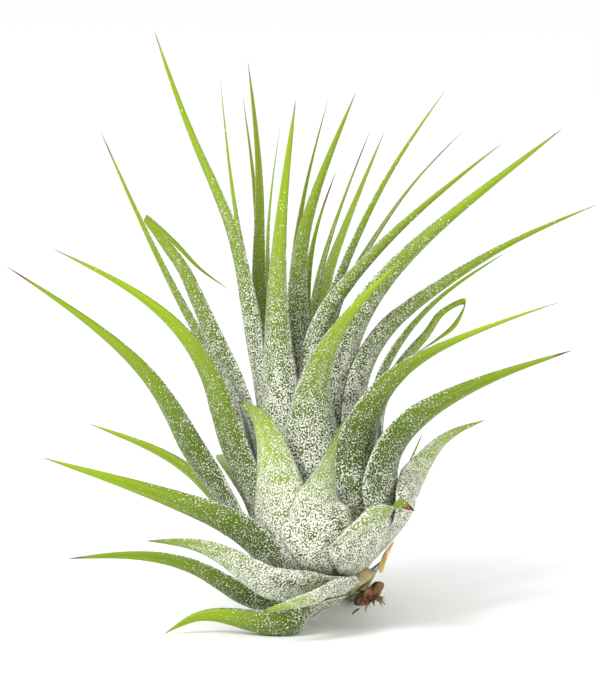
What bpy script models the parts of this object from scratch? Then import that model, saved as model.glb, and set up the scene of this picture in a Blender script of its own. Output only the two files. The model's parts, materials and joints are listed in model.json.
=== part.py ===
"""Air plant: a rosette of channelled, tapering leaves on a short stem, picked and lying as it rests.

Every leaf is one solid.  Its sheath lies on a layer of its own round the stem's axis, outside
every sheath that it covers, and its blade then runs through a few points to a fine tip.
Lengths in the tables are millimetres in the plant's own frame: x to the right, y to the back and
z up its height.  The plant then leans back by LEAN onto the ground at z = 0, and its box is
centred over the origin.
"""

import math
from typing import NamedTuple

import bpy
import numpy as np

MM = 0.001

# Driving dimensions, in millimetres and degrees
LEAN = 10.0
GROUND = 1.8
STEM_AXIS = ((10.3, -3.0, 8.0), (-1.0, -0.5, 22.0), (0.5, 0.0, 50.0))
AXIS_LENGTH = 45.0
STEM_BASE_RADIUS = 3.0
STEM_TOP_RADIUS = 1.0
STEM_TOP = 19.0
LOWEST_FOOT = 0.4
HIGHEST_FOOT = 17.5
GAP = 0.35
SHEATH_THICKNESS = 0.9
TIP_THICKNESS = 0.3
MARGIN_THICKNESS_POWER = 0.6
SHEATH_SWELL = 3.2
SHEATH_MAX_HALF_ANGLE = 0.6
BLADE_HALF_ANGLE = 0.85
LAYER_STEP = 0.1
FOOT_WIDTH = 0.6
SWELL_SHARE = 0.2
WIDEST_LAYER = 17.0
CLASP = 3.0
SHEATH_STATIONS = 5
BLADE_STATIONS = 10
SHOULDER_REACH = 3.0  # how far above the shoulders two sheaths are still kept apart
COVER_STATIONS = 12
FREE_SHARE = 0.35  # of the blade, over which it turns from lying on the bulb to standing free
TIP_POWER = 0.7  # how bluntly the slender part ends: below 1 it keeps its width for longer
KEEL = 1.15  # how much fuller the middle of a leaf's back is than its sides
THICKEST = 0.45  # of a leaf's width
SLOPE_STEP = 0.004  # of the blade's length, either side of where its direction is taken
STEM_START = 0.2
STEM_STATIONS = 7
STEM_SIDES = 10
DRY_END_DEPTHS = (0.3, 1.0, 1.8, 2.6)
DRY_END_RADII = (2.6, 3.3, 3.1, 1.8)
DRY_END_SIDES = 11
ROOT_PATH = ((9.6, -4.4, 4.6), (8.8, -4.9, 4.2), (8.3, -5.3, 3.6))
ROOT_RADII = (0.3, 0.25, 0.2, 0.12)
BRACT_PATH = ((12.9, -5.2, 10.4), (13.6, -5.0, 13.0), (15.2, -4.6, 15.6))
BRACT_RADII = (0.45, 0.6, 0.5, 0.15)
WISP_SIDES = 6
TUBE_SLOPE_STEP = 0.01


class Leaf(NamedTuple):
    """One leaf: where its sheath stands round the axis, how far it goes up, and its blade."""

    name: str
    azimuth: float  # degrees round the axis, 0 at the front, positive to the right
    width: float  # of the sheath
    awn: float  # width of the slender part of the blade
    taper: float  # how fast the blade narrows to its slender part: 1 is straight
    shoulder: float  # height along the axis at which the blade leaves the bulb
    roll: float  # degrees by which the blade turns its back to the front
    blade: tuple  # points of the blade, the last of them its tip
    colour: str = "green"


# From the heart of the rosette outwards
LEAVES = [
    Leaf(
        "heart_leaf_thin_centre", 20, 4, 1.2, 2.2, 37, 0,
        ((0.9, -2, 51), (2.5, -2.5, 66), (6, -3, 76.5)),
    ),
    Leaf(
        "heart_leaf_thin_right", 120, 4, 1.2, 2.2, 37, 0,
        ((2.1, 1, 51.3), (6, 2, 68.5), (11.6, 3, 83.3)),
    ),
    Leaf("heart_leaf_back", -150, 4, 1.1, 2.2, 37, 0, ((-1.5, 3, 52), (0.1, 5, 70.2), (4.6, 7, 88.4))),
    Leaf(
        "heart_leaf_left", -85, 4.5, 1.3, 2.2, 36, 0,
        ((-4.8, 0, 50), (-5.4, 0.6, 64), (-3.3, 1.5, 83.9)),
    ),
    Leaf(
        "inner_leaf_right_arching", 58, 5, 2.2, 2.2, 36, 0,
        ((4.3, -3.3, 50), (8.5, -2.5, 63.2), (15.3, -1.5, 76.8), (23.7, 0, 89.3)),
    ),
    Leaf(
        "inner_leaf_right_thin", 115, 5, 1.3, 2.2, 36, 0,
        ((5.3, 2.5, 50), (10.7, 4, 62.7), (19, 7, 74.7), (27.2, 10, 83.3)),
    ),
    Leaf(
        "inner_leaf_front_tall", -10, 6.5, 3.0, 2.2, 36, 0,
        ((-0.6, -5.5, 50), (-0.3, -6, 61.5), (3.5, -6.2, 75.5), (9, -7.5, 88.7)),
    ),
    Leaf("inner_leaf_back_bright", 155, 6, 2.2, 2.2, 35, 0, ((3, 6, 50), (7.8, 9, 68), (13.9, 13, 83))),
    Leaf(
        "inner_leaf_left_thin", -100, 4.5, 1.5, 2.2, 35, 30,
        ((-7, 2.5, 50), (-10, 4, 64.9), (-13.3, 7.5, 91.7)),
    ),
    Leaf(
        "inner_leaf_front_arching", 18, 6.5, 2.4, 2.2, 33, 0,
        ((3.2, -8, 50), (8.2, -9, 58), (20, -11, 70), (32.7, -13, 80.3)),
    ),
    Leaf(
        "inner_leaf_back_left", -142, 6.5, 2.8, 2.2, 34, 0,
        ((-6.6, 6, 50), (-7, 10, 72), (-8.8, 15, 94.9)),
    ),
    Leaf(
        "middle_leaf_left_tall", -80, 8, 3.8, 2.2, 32, 25,
        ((-8.5, -5, 50), (-11.2, -6, 64.9), (-16.9, -7, 79.3), (-23.8, -8, 98.7)),
    ),
    Leaf(
        "middle_leaf_centre", -26, 9, 3.8, 2.2, 30, 0,
        ((-4.2, -10, 50), (-3.6, -12, 65.3), (-0.8, -15, 87.2)),
    ),
    Leaf(
        "middle_leaf_back_thin", -155, 6, 1.4, 2.2, 32, 0,
        ((-6.2, 9.5, 50), (-7.2, 13, 66), (-9.7, 18, 89.3)),
    ),
    Leaf(
        "middle_leaf_right_long", 46, 9, 4.2, 2.2, 31, 20,
        ((8.9, -9, 50), (15.3, -11, 59.5), (28.75, -13.5, 71.8), (42.1, -16, 82.4)),
    ),
    Leaf(
        "middle_leaf_front_broad", 4, 10.5, 2.8, 2.4, 28, 0,
        ((3.2, -13.5, 44), (7.6, -17, 52), (16.8, -23, 61.7)),
    ),
    Leaf(
        "middle_leaf_right_reaching", 60, 8, 2.8, 2.2, 30, 25,
        ((13, -6, 48.3), (20.75, -6.5, 55.5), (33.5, -7, 63.7), (48.4, -8, 70.5)),
    ),
    Leaf(
        "middle_leaf_left_kinked", -86, 7.5, 3.4, 2.0, 30, 40,
        (
            (-14.6, -0.3, 48.4),
            (-20, 1.2, 60.6),
            (-25.2, 1.5, 67.2),
            (-26.3, 1.5, 68.8),
            (-25.0, 1.5, 68.4),
            (-19.8, 1.5, 63.4),
            (-11.6, 1.5, 56.5),
        ),
    ),
    Leaf(
        "middle_leaf_right_upright", 85, 8, 3.0, 2.2, 29, 0,
        ((16.7, 1.5, 48.3), (22.8, 2.5, 55.2), (33.9, 4, 62.9)),
    ),
    Leaf(
        "middle_leaf_back_left_long", -108, 7, 2.4, 2.2, 28, 40,
        ((-17.2, 6.5, 49.3), (-23.2, 7.5, 61), (-33.3, 11, 83.3)),
    ),
    Leaf(
        "middle_leaf_right_kinked", 108, 7, 3.0, 2.0, 26, 30,
        (
            (17, 4, 44.4),
            (22.5, 5, 51.4),
            (26.0, 5.5, 54.6),
            (27.3, 5.5, 54.4),
            (26.6, 5.5, 52.6),
            (23.5, 5.5, 49.3),
            (18.9, 5.5, 46.2),
        ),
    ),
    Leaf("back_leaf_upper_centre", 178, 9, 3.0, 2.2, 23, 0, ((1, 24, 36), (2, 46, 37.5))),
    Leaf("back_leaf_upper_right", 148, 9, 3.0, 2.2, 21, 0, ((7, 22, 31), (5, 44, 33))),
    Leaf("back_leaf_upper_left", -150, 10.5, 4.0, 1.6, 21, 0, ((-7, 22, 31), (-9, 43, 34))),
    Leaf("back_leaf_short_right", 118, 9, 3.0, 2.0, 18, 0, ((12, 13, 27), (14, 30, 31))),
    Leaf("back_leaf_short_left", -128, 11, 4.2, 1.6, 17, 0, ((-11, 15, 26), (-14, 34, 29))),
    Leaf(
        "left_leaf_broad", -68, 11, 3.0, 2.0, 20, 30,
        ((-12.3, -8, 33), (-14.6, -9, 41), (-20.3, -11, 50.3), (-40.2, -14, 63.2)),
    ),
    Leaf(
        "right_leaf_front", 38, 10.5, 2.2, 2.6, 24, 15,
        ((11, -11.5, 36), (15.6, -13, 42.2), (25, -15, 48.2), (41.9, -18, 54.6)),
    ),
    Leaf(
        "left_leaf_long", -90, 12, 2.6, 1.8, 16, 40,
        ((-18, -2.5, 29.5), (-23, -3, 39), (-33, -3.5, 49.8), (-48.3, -4, 60.6)),
    ),
    Leaf(
        "right_leaf_low", 56, 11, 3.8, 1.8, 17, 25,
        ((14.8, -9.5, 29.7), (25.3, -11, 39.2), (44.1, -12, 46.8)),
    ),
    Leaf("right_leaf_spike", 108, 7, 1.6, 2.0, 12, 0, ((17, 7, 24.5), (20.4, 8.5, 33.7))),
    Leaf(
        "left_leaf_dark", -118, 10, 3.4, 1.4, 12, 45,
        ((-19, 9, 26.6), (-27, 12, 31.2), (-35.2, 14, 34.5)),
    ),
    Leaf("back_leaf_middle_centre", 168, 9, 3.0, 2.0, 14, 0, ((4, 18, 26), (5, 34, 29))),
    Leaf("back_leaf_middle_left", -148, 12, 4.5, 1.5, 9, 0, ((-9, 21, 15), (-13, 40, 15))),
    Leaf("back_leaf_middle_right", 138, 10, 3.0, 1.8, 9, 0, ((10, 18, 17), (9, 38, 15))),
    Leaf(
        "front_leaf_short_left", -31, 11.8, 3.0, 0.9, 19, 0,
        ((-5.2, -13.5, 31), (-8, -15, 37), (-10.3, -16, 38.6)), "white",
    ),
    Leaf(
        "left_leaf_spreading", -77, 11.5, 3.2, 1.4, 6, 35,
        ((-8, -10, 15.2), (-17, -11.5, 20.6), (-41.8, -15, 29.5)),
    ),
    Leaf(
        "front_leaf_short_centre", -8, 12.5, 2.0, 2.6, 15, 0,
        ((3.0, -16, 24), (4.6, -17.5, 29.2), (7, -20, 36)), "white",
    ),
    Leaf(
        "right_leaf_outer_sheath", 77, 12.5, 3.0, 1.5, 12, 20,
        ((19, -1.5, 25), (23, -1, 31.2), (30.2, 0, 35.3)), "white",
    ),
    Leaf("back_leaf_low_centre", -172, 9, 3.0, 1.8, 6, 0, ((-3, 22, 13), (-4, 44, 12))),
    Leaf(
        "front_leaf_short_right", 20, 12.5, 2.6, 1.2, 9, 0,
        ((11.6, -17, 18.6), (15, -19, 21.6), (18.3, -21.5, 21)), "white",
    ),
    Leaf(
        "left_leaf_short_white", -46, 11, 3.0, 1.1, 3, 20,
        ((-4.5, -14.5, 8.4), (-14, -16, 14.1), (-25, -17, 16.1)), "white",
    ),
    Leaf(
        "back_leaf_ground_right", 160, 9, 3.0, 1.6, 3, 0,
        ((10, 11, 7.2), (9.8, 19, 6.0), (9.2, 29, 7.4), (8, 40, 11)),
    ),
    Leaf(
        "left_leaf_low", -92, 10, 3.4, 1.4, 2.5, 35,
        ((-7.5, -3, 5.2), (-16.5, -3.5, 10.3), (-27, -4.2, 13), (-38.2, -3.5, 12.7)),
    ),
    Leaf(
        "back_leaf_ground_left", -138, 9, 3.0, 1.6, 2.5, 0,
        ((1, 12, 6), (-4, 21, 6.2), (-8, 29, 7.2), (-11, 39, 10)),
    ),
    Leaf("front_leaf_basal_white", -32, 9, 3.0, 1.0, 2, 0, ((3.5, -13, 6.8), (-6.3, -17, 4.8)), "white"),
    Leaf(
        "left_leaf_ground", -78, 11, 3.2, 1.2, 1.5, 35,
        ((-0.2, -8.5, 1.9), (-8.5, -9, 2.3), (-16.5, -7.5, 3.2), (-22.2, -7, 0.6)),
    ),
]

COLOURS = {
    "green": (0.16, 0.30, 0.05, 1.0),
    "white": (0.52, 0.56, 0.42, 1.0),
    "stem": (0.45, 0.40, 0.22, 1.0),
    "brown": (0.10, 0.04, 0.02, 1.0),
    "amber": (0.55, 0.32, 0.09, 1.0),
}
ROUGHNESS = 0.6


def unit(vector):
    return vector / np.linalg.norm(vector)


def smooth(value):
    value = min(max(value, 0.0), 1.0)
    return value * value * (3 - 2 * value)


def axis_point(height):
    """A point of the stem's axis, a height along it above its base."""
    a, b, c = (np.array(p, float) for p in STEM_AXIS)
    t = height / AXIS_LENGTH
    return (1 - t) ** 2 * a + 2 * t * (1 - t) * b + t * t * c


def axis_direction(height):
    a, b, c = (np.array(p, float) for p in STEM_AXIS)
    t = height / AXIS_LENGTH
    return unit((1 - t) * (b - a) + t * (c - b))


def outward(height, azimuth):
    """The direction square to the axis at an azimuth, and the one along the sheath's width."""
    up = axis_direction(height)
    back = unit(np.array((0.0, 1.0, 0.0)) - up[1] * up)
    right = np.cross(back, up)
    angle = math.radians(azimuth)
    out = math.sin(angle) * right - math.cos(angle) * back
    return out, np.cross(up, out)


def stem_radius(height):
    along = min(max(height / STEM_TOP, 0.0), 1.0)
    return STEM_BASE_RADIUS + (STEM_TOP_RADIUS - STEM_BASE_RADIUS) * along


def foot_height(rank):
    """The heart's leaves stand highest on the stem, and the outermost leaf lowest."""
    return HIGHEST_FOOT + (LOWEST_FOOT - HIGHEST_FOOT) * rank / (len(LEAVES) - 1)


def sheath_radius(height, foot, layer):
    inner = stem_radius(foot) + GAP + SHEATH_THICKNESS / 2
    return inner + (layer - inner) * (1 - math.exp(-(height - foot) / SHEATH_SWELL))


def sheath_half_width(leaf, height, foot, radius):
    risen = (height - foot) / max(leaf.shoulder - foot, 1.0)
    half = leaf.width / 2 * (FOOT_WIDTH + (1 - FOOT_WIDTH) * math.sin(math.pi / 2 * min(risen, 1.0)))
    return min(half, SHEATH_MAX_HALF_ANGLE * radius)


def covers(leaf, foot, layer, other, other_foot, other_layer):
    """Whether a sheath would touch another that lies inside it."""
    apart = abs((leaf.azimuth - other.azimuth + 180) % 360 - 180)
    low = max(foot, other_foot) + CLASP
    high = max(min(leaf.shoulder, other.shoulder), low) + SHOULDER_REACH
    for height in np.linspace(low, high, COVER_STATIONS):
        radius = sheath_radius(height, foot, layer)
        other_radius = sheath_radius(height, other_foot, other_layer)
        half_angle = sheath_half_width(leaf, height, foot, radius) / radius
        half_angle += sheath_half_width(other, height, other_foot, other_radius) / other_radius
        near = math.radians(apart) < half_angle + GAP / radius
        if near and radius < other_radius + SHEATH_THICKNESS + GAP:
            return True
    return False


def lay_sheaths():
    """Each leaf's foot and layer: the smallest layer outside every sheath that it covers."""
    laid = []
    for rank, leaf in enumerate(LEAVES):
        foot = foot_height(rank)
        layer = stem_radius(foot) + GAP + SHEATH_THICKNESS
        while layer < WIDEST_LAYER and any(covers(leaf, foot, layer, *inside) for inside in laid):
            layer += LAYER_STEP
        laid.append((leaf, foot, layer))
    return laid


def spline(points):
    """A natural cubic spline through points, as a function of the share of its length."""
    points = np.array(points)
    steps = np.linalg.norm(np.diff(points, axis=0), axis=1)
    knots = np.concatenate([[0.0], np.cumsum(steps)]) / steps.sum()
    count = len(points)
    system = np.eye(count)
    right = np.zeros_like(points)
    for i in range(1, count - 1):
        before = knots[i] - knots[i - 1]
        after = knots[i + 1] - knots[i]
        system[i, i - 1 : i + 2] = before, 2 * (before + after), after
        right[i] = 6 * ((points[i + 1] - points[i]) / after - (points[i] - points[i - 1]) / before)
    bends = np.linalg.solve(system, right)

    def at(share):
        i = int(min(max(np.searchsorted(knots, share) - 1, 0), count - 2))
        gap = knots[i + 1] - knots[i]
        low = (knots[i + 1] - share) / gap
        high = 1 - low
        curve = low * points[i] + high * points[i + 1]
        return curve + ((low**3 - low) * bends[i] + (high**3 - high) * bends[i + 1]) * gap**2 / 6

    return at, knots


def section(middle, inward, across, radius, half_angle, thickness):
    """Eight points round a channel: its back from margin to margin, then its inner face."""
    centre = middle + radius * inward
    ring = []
    for share, side in ((-1, 0), (-0.5, 1), (0, KEEL), (0.5, 1), (1, 0), (0.5, -1), (0, -1), (-0.5, -1)):
        angle = share * half_angle
        half = thickness / 2 * (1 - share * share) ** MARGIN_THICKNESS_POWER
        reach = radius + side * half
        ring.append(centre + reach * (math.sin(angle) * across - math.cos(angle) * inward))
    return ring


def leaf_rings(leaf, foot, layer):
    """The leaf's sections from its foot to just before its tip, and the tip."""
    rings = []
    shoulder = max(leaf.shoulder, foot + 1.0)
    heights = np.linspace(foot, shoulder, SHEATH_STATIONS)
    middles = []
    for height in heights:
        out, across = outward(height, leaf.azimuth)
        radius = sheath_radius(height, foot, layer)
        middles.append(axis_point(height) + radius * out)
        half = sheath_half_width(leaf, height, foot, radius)
        rings.append(section(middles[-1], -out, across, radius, half / radius, SHEATH_THICKNESS))
    at, knots = spline([*middles[-3:], *leaf.blade])
    start = knots[2]
    sheath_angle = half / radius
    for share in np.linspace(0, 1, BLADE_STATIONS + 1)[1:-1]:
        here = start + (1 - start) * share
        middle = at(here)
        forward = unit(at(here + SLOPE_STEP) - at(here - SLOPE_STEP))
        free = smooth(share / FREE_SHARE)
        side = unit(across - (across @ forward) * forward)
        inward = np.cross(forward, side)
        side = unit((1 - free) * across + free * side)
        inward = unit((1 - free) * -out + free * inward)
        turn = math.radians(leaf.roll) * free * math.copysign(1, leaf.azimuth)
        side, inward = (
            math.cos(turn) * side - math.sin(turn) * inward,
            math.cos(turn) * inward + math.sin(turn) * side,
        )
        full = smooth(share / SWELL_SHARE)
        base = 2 * half * (1 - full) + leaf.width * full
        width = (base - leaf.awn) * (1 - share) ** leaf.taper + leaf.awn * (1 - share) ** TIP_POWER
        half_angle = sheath_angle + (BLADE_HALF_ANGLE - sheath_angle) * free
        thickness = SHEATH_THICKNESS + (TIP_THICKNESS - SHEATH_THICKNESS) * share
        thickness = min(thickness, THICKEST * width)
        rings.append(section(middle, inward, side, width / 2 / half_angle, half_angle, thickness))
    return rings, np.array(leaf.blade[-1], float)


def skin(rings, tip):
    """Points and faces of a closed body over its rings, its foot closed and its tip a point."""
    count = len(rings[0])
    points = [point for ring in rings for point in ring] + [tip]
    faces = []
    for r in range(len(rings) - 1):
        for i in range(count):
            j = (i + 1) % count
            faces.append((r * count + i, r * count + j, (r + 1) * count + j, (r + 1) * count + i))
    last = (len(rings) - 1) * count
    for i in range(count):
        faces.append((last + i, last + (i + 1) % count, len(points) - 1))
    for i in range(count // 2 - 1):
        if i == 0:
            faces.append((0, count - 1, 1))
        else:
            faces.append((i, count - i, count - i - 1, i + 1))
    faces.append((count // 2 - 1, count // 2 + 1, count // 2))
    return points, faces


def tube(path, radii, sides):
    """Points and faces of a round tube through points, closed at both ends."""
    at, _ = spline(path)
    rings = []
    for i, radius in enumerate(radii):
        share = i / (len(radii) - 1)
        forward = unit(at(min(share + TUBE_SLOPE_STEP, 1)) - at(max(share - TUBE_SLOPE_STEP, 0)))
        side = unit(np.cross(forward, (0.0, 1.0, 0.2)))
        other = np.cross(forward, side)
        turn = [2 * math.pi * k / sides for k in range(sides)]
        rings.append([at(share) + radius * (math.cos(a) * side + math.sin(a) * other) for a in turn])
    points = [point for ring in rings for point in ring]
    faces = [tuple(range(sides))[::-1]]
    for r in range(len(rings) - 1):
        for i in range(sides):
            j = (i + 1) % sides
            faces.append((r * sides + i, r * sides + j, (r + 1) * sides + j, (r + 1) * sides + i))
    faces.append(tuple(range((len(rings) - 1) * sides, len(rings) * sides)))
    return points, faces


def on_the_ground(points):
    """Points leant back by LEAN, pressed flat where they would pass below the ground."""
    lean = math.radians(LEAN)
    x, y, z = np.array(points).T
    back = y * math.cos(lean) + z * math.sin(lean)
    up = z * math.cos(lean) - y * math.sin(lean)
    leant = np.stack([x, back, up], 1)
    leant[:, 2] = np.maximum(leant[:, 2] - GROUND, 0.0)
    return leant


def stem():
    heights = np.linspace(STEM_START, STEM_TOP, STEM_STATIONS)
    return tube([axis_point(h) for h in heights], [stem_radius(h) for h in heights], STEM_SIDES)


def dry_stem_end():
    """The withered end where the plant broke from its parent, a blunt knob."""
    base = axis_point(0)
    down = -axis_direction(0)
    path = [base + k * down for k in DRY_END_DEPTHS]
    return tube(path, DRY_END_RADII, DRY_END_SIDES)


def wiry_root():
    return tube(ROOT_PATH, ROOT_RADII, WISP_SIDES)


def dry_bract():
    return tube(BRACT_PATH, BRACT_RADII, WISP_SIDES)


def make_material(name):
    material = bpy.data.materials.new(name)
    material.use_nodes = True
    shader = material.node_tree.nodes["Principled BSDF"]
    shader.inputs["Base Color"].default_value = COLOURS[name]
    shader.inputs["Roughness"].default_value = ROUGHNESS
    shader.inputs["Metallic"].default_value = 0.0
    return material


def add_object(name, points, faces, material):
    mesh = bpy.data.meshes.new(name)
    mesh.from_pydata([tuple(float(v) for v in p) for p in points], [], faces)
    mesh.materials.append(material)
    mesh.shade_smooth()
    mesh.update()
    obj = bpy.data.objects.new(name, mesh)
    bpy.context.collection.objects.link(obj)


def main():
    for obj in list(bpy.data.objects):
        bpy.data.objects.remove(obj)
    pieces = {
        "stem": (*stem(), "stem"),
        "dry_stem_end": (*dry_stem_end(), "brown"),
        "wiry_root": (*wiry_root(), "brown"),
        "dry_bract": (*dry_bract(), "amber"),
    }
    for leaf, foot, layer in lay_sheaths():
        pieces[leaf.name] = (*skin(*leaf_rings(leaf, foot, layer)), leaf.colour)
    placed = {name: on_the_ground(points) for name, (points, _, _) in pieces.items()}
    whole = np.concatenate(list(placed.values()))
    middle = (whole.min(0) + whole.max(0)) / 2 * (1, 1, 0)
    materials = {name: make_material(name) for name in COLOURS}
    for name, (_, faces, colour) in pieces.items():
        add_object(name, (placed[name] - middle) * MM, faces, materials[colour])


main()
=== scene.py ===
"""The looks of the air plant: leaves with a coat of silvery scurf, and a withered stem end.

Laid out as an add-on.  A leaf is a fine closed skin drawn through the sections of its solid in the
frame, or the solid rounded where its sections aren't clear.  Geometry Nodes grow the scurf on it.
Lengths are metres unless a name says mm.
"""

import json
import math

import bmesh
import bpy
import numpy as np
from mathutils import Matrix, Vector


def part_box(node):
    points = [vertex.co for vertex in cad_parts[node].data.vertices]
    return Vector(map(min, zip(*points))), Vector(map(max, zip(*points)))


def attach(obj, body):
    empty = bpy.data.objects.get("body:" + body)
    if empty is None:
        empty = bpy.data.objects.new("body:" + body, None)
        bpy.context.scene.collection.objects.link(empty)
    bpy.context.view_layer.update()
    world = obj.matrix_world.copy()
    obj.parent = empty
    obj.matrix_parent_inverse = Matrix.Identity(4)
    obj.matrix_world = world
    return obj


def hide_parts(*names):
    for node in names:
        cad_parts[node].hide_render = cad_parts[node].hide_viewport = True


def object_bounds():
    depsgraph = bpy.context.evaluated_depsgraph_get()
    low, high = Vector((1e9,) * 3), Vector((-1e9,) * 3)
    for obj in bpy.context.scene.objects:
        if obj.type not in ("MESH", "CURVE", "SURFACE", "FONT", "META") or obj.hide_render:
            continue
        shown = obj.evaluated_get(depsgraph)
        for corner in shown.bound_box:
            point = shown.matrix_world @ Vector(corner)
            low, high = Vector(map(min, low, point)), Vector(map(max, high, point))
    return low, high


bl_info = {
    "name": "Air Plant",
    "version": (1, 0, 0),
    "blender": (4, 5, 0),
    "location": "View3D > Sidebar > Air Plant",
    "description": "Skins, scurf and finishes for an air plant",
    "category": "Add Mesh",
}

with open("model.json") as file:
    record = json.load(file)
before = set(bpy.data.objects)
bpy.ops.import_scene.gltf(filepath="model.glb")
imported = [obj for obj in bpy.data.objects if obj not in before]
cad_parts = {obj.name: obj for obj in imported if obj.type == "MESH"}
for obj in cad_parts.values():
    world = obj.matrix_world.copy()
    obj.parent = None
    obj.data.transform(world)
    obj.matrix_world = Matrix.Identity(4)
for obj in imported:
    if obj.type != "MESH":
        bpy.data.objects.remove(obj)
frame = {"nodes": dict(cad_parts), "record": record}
CAD_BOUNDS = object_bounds()
SLOTS = {part["node"]: part["material_slot"] for part in frame["record"]["subparts"]}

SECTION_POINTS = 8  # round a leaf's solid: a margin, three on its back, a margin, three inside
FEWEST_POINTS = 5  # in a section of a slender part, where close points of the solid have joined
FEWEST_SECTIONS = 11  # in a leaf whose rows of points are clear enough to follow
MERGE_DISTANCE = 1e-6
ROUNDING_LEVELS = 3  # of a solid that is rounded instead
FINE_ROUNDING_LEVELS = 4  # of the withered end
ROUNDED_PATTERN_PLACE = (0.01, 0.05)  # where a rounded leaf's middle lies in the patterns
LEAF_SLOTS = ("green_leaf", "silvery_leaf")
OTHER_NODES = ("stem", "dry_stem_end", "wiry_root", "dry_bract")

# Leaves whose fine tips have dried to a reddish brown, and how far down from the tip it goes
BROWN_TIPS = {
    "heart_leaf_thin_centre": 0.10,
    "heart_leaf_thin_right": 0.10,
    "inner_leaf_right_thin": 0.09,
    "middle_leaf_back_left_long": 0.05,
    "left_leaf_long": 0.05,
    "left_leaf_low": 0.05,
    "front_leaf_short_right": 0.07,
    "right_leaf_spike": 0.05,
    "right_leaf_low": 0.05,
}
TIP_DRYNESS = 0.02  # of the length of every other leaf
GREY_LEAVES = ("right_leaf_spike",)  # of green flesh, but scurfy all over
UPRIGHT_LEAVES = ("heart_", "inner_", "middle_")  # scurfy for longer than the spreading ones
DRYING_SPAN = (1.6, 0.4)  # times that reach from the tip: where drying starts, and where it is done
TONES = 1000  # steps of tone that leaves may differ by
HASH_START = 7
HASH_STEP = 131
HASH_SIZE = 1000003

# Cover of scurf at a leaf's foot, then what it loses between two places along the leaf
SILVERY_COVER = (0.77, ((0.38, 0.45, 1.0),))
UPRIGHT_COVER = (0.76, ((0.34, 0.28, 0.6), (0.34, 0.55, 0.9)))
SPREADING_COVER = (0.68, ((0.34, 0.12, 0.45), (0.32, 0.45, 0.85)))
FRINGE_COVER = 0.55  # more at the margins
FRINGE_ACROSS = (0.82, 1.0)
FRINGE_FADES = (0.75, 1.0)  # along the leaf
INSIDE_LOSS = 0.38  # share of the cover missing from the inner face

# Scurf that is grown
LEAVES_PER_SCURF_PIECE = 4
COVER_POWER = 1.3
CLUMP_DETAIL = 2.0
CLUMP_EDGES = (0.47, 0.62)
FLAKE_SIDES = 5
FLAKE_SIZES = (0.6, 1.25)
SCURF_SHADE = 0.82  # of its colour, in the darker patches
SCURF_PATCHES = 900.0  # per metre
SCURF_ROUGHNESS = 0.7

# Scurf too fine to grow, drawn as specks
SPECKS_PER_METRE = 3700.0
SPECK_STRETCH = 0.85
SPECK_DETAIL = 2.5
SPECK_ROUGHNESS = 0.6
SPECK_LEVEL = 0.67  # of the noise, that a speck stands out of where there is no cover
SPECK_EDGES = (-0.012, 0.025)
COVER_EFFECT = 0.25
PATCH_SCALE = 0.16  # of the specks' own
PATCH_DETAIL = 2.0
PATCH_STRENGTH = 0.9
NOISE_MIDDLE = 0.5

# Veins
RIBS_PER_METRE = 1400.0
RIB_STRETCH = (1.0, 0.03, 1.0)
RIB_DETAIL = 1.5
RIB_EDGES = (0.45, 0.7)
RIB_SHARE = 0.28
RIB_HEIGHT = 0.5

# Flesh of a leaf: places along it from 0 at the foot to 1 at the tip, and shares of a colour
# Where the flesh turns to the upper green: partly the tips' own yellow-green, partly a painted glow of
# light shining through the thin tips
UPPER_GREEN_AND_PAINTED_GLOW_FROM = (0.3, 0.8)
FOOT_FADES = (0.22, 0.0)
TONE_SHARE = 0.35
INNER_SHARE = 0.6
SPECK_SHARE = 0.95
TIP_EDGES = (0.0, 0.6)
TIP_END_EDGES = (0.6, 1.0)
BARE_ROUGHNESS = 0.42
SPECK_ADDED_ROUGHNESS = 0.35
LEAF_SPECULAR = 0.2
LEAF_BUMP = 1.0
BUMP_DISTANCE = 0.0002

# Stem and dry parts: streaks per metre, and how they are stretched along each axis
STREAKS = {
    "stem": (500.0, (1, 1, 0.2)),
    "dry_stem_end": (900.0, (1, 1, 0.2)),
    "wiry_root": (1500.0, (1, 1, 0.3)),
    "dry_bract": (900.0, (1, 1, 0.15)),
}
STREAK_DETAIL = 4.0
STREAK_EDGES = (0.42, 0.66)
STREAK_ROUGHNESS = (0.55, 0.3)  # at the least, and added by the streaks
STREAK_BUMP = 0.7
STEM_GREEN = (0.34, 0.36, 0.14, 1)
WITHERED_LIGHT = (0.30, 0.15, 0.05, 1)
ROOT_LIGHT = (0.2, 0.09, 0.04, 1)
BRACT_LIGHT = (0.78, 0.62, 0.32, 1)
SLIGHT_WEAR = 0.1  # of the withered end's wear, on the other dry parts
WEAR_RISE = 0.0012  # height over which the hollows shift
WEAR_LEVEL = 0.5
WEAR_SWING = 0.25
WEAR_WAVES = ((13, 0.8, 0), (7, -1.7, 2))  # hollows round the part, shift with height, and start
FIBRE_SIDES = 5
FIBRE_STEPS = 5
FIBRE_SEED = 5
FIBRE_FALL = 0.6
FIBRE_START = 0.35  # of the way from the middle of the part to its sides
FIBRE_REACH = (0.85, 1.25)
FIBRE_BEND = 0.0006
FIBRE_SIDEWAYS_OF = (0.0, 0.3, 1.0)

# Stage
FLOOR_HALF = 3.0
FLOOR_ROUGHNESS = 0.9
KEY_SIZE = 0.22
KEY_PLACE = (-0.40, -0.40, 0.55)
FILL_SIZE = 0.45
FILL_PLACE = (0.5, -0.3, 0.3)
PLANT_HEART = (0.0, 0.0, 0.045)
LENS_MM = 300.0
SENSOR_MM = 36.0
CLIP_START = 0.01
CLIP_END = 20.0
VIEW_HEIGHT = 0.11383
VIEW_CENTRE_RISE = 0.04775
VIEW_CENTRE_X = -0.00017


# Reading a leaf's solid


def merged_copy(node):
    """A bmesh copy of a node of the frame, its loose triangles joined."""
    solid = bmesh.new()
    solid.from_mesh(frame["nodes"][node].data)
    bmesh.ops.remove_doubles(solid, verts=solid.verts, dist=MERGE_DISTANCE)
    solid.verts.ensure_lookup_table()
    solid.verts.index_update()
    return solid


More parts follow.
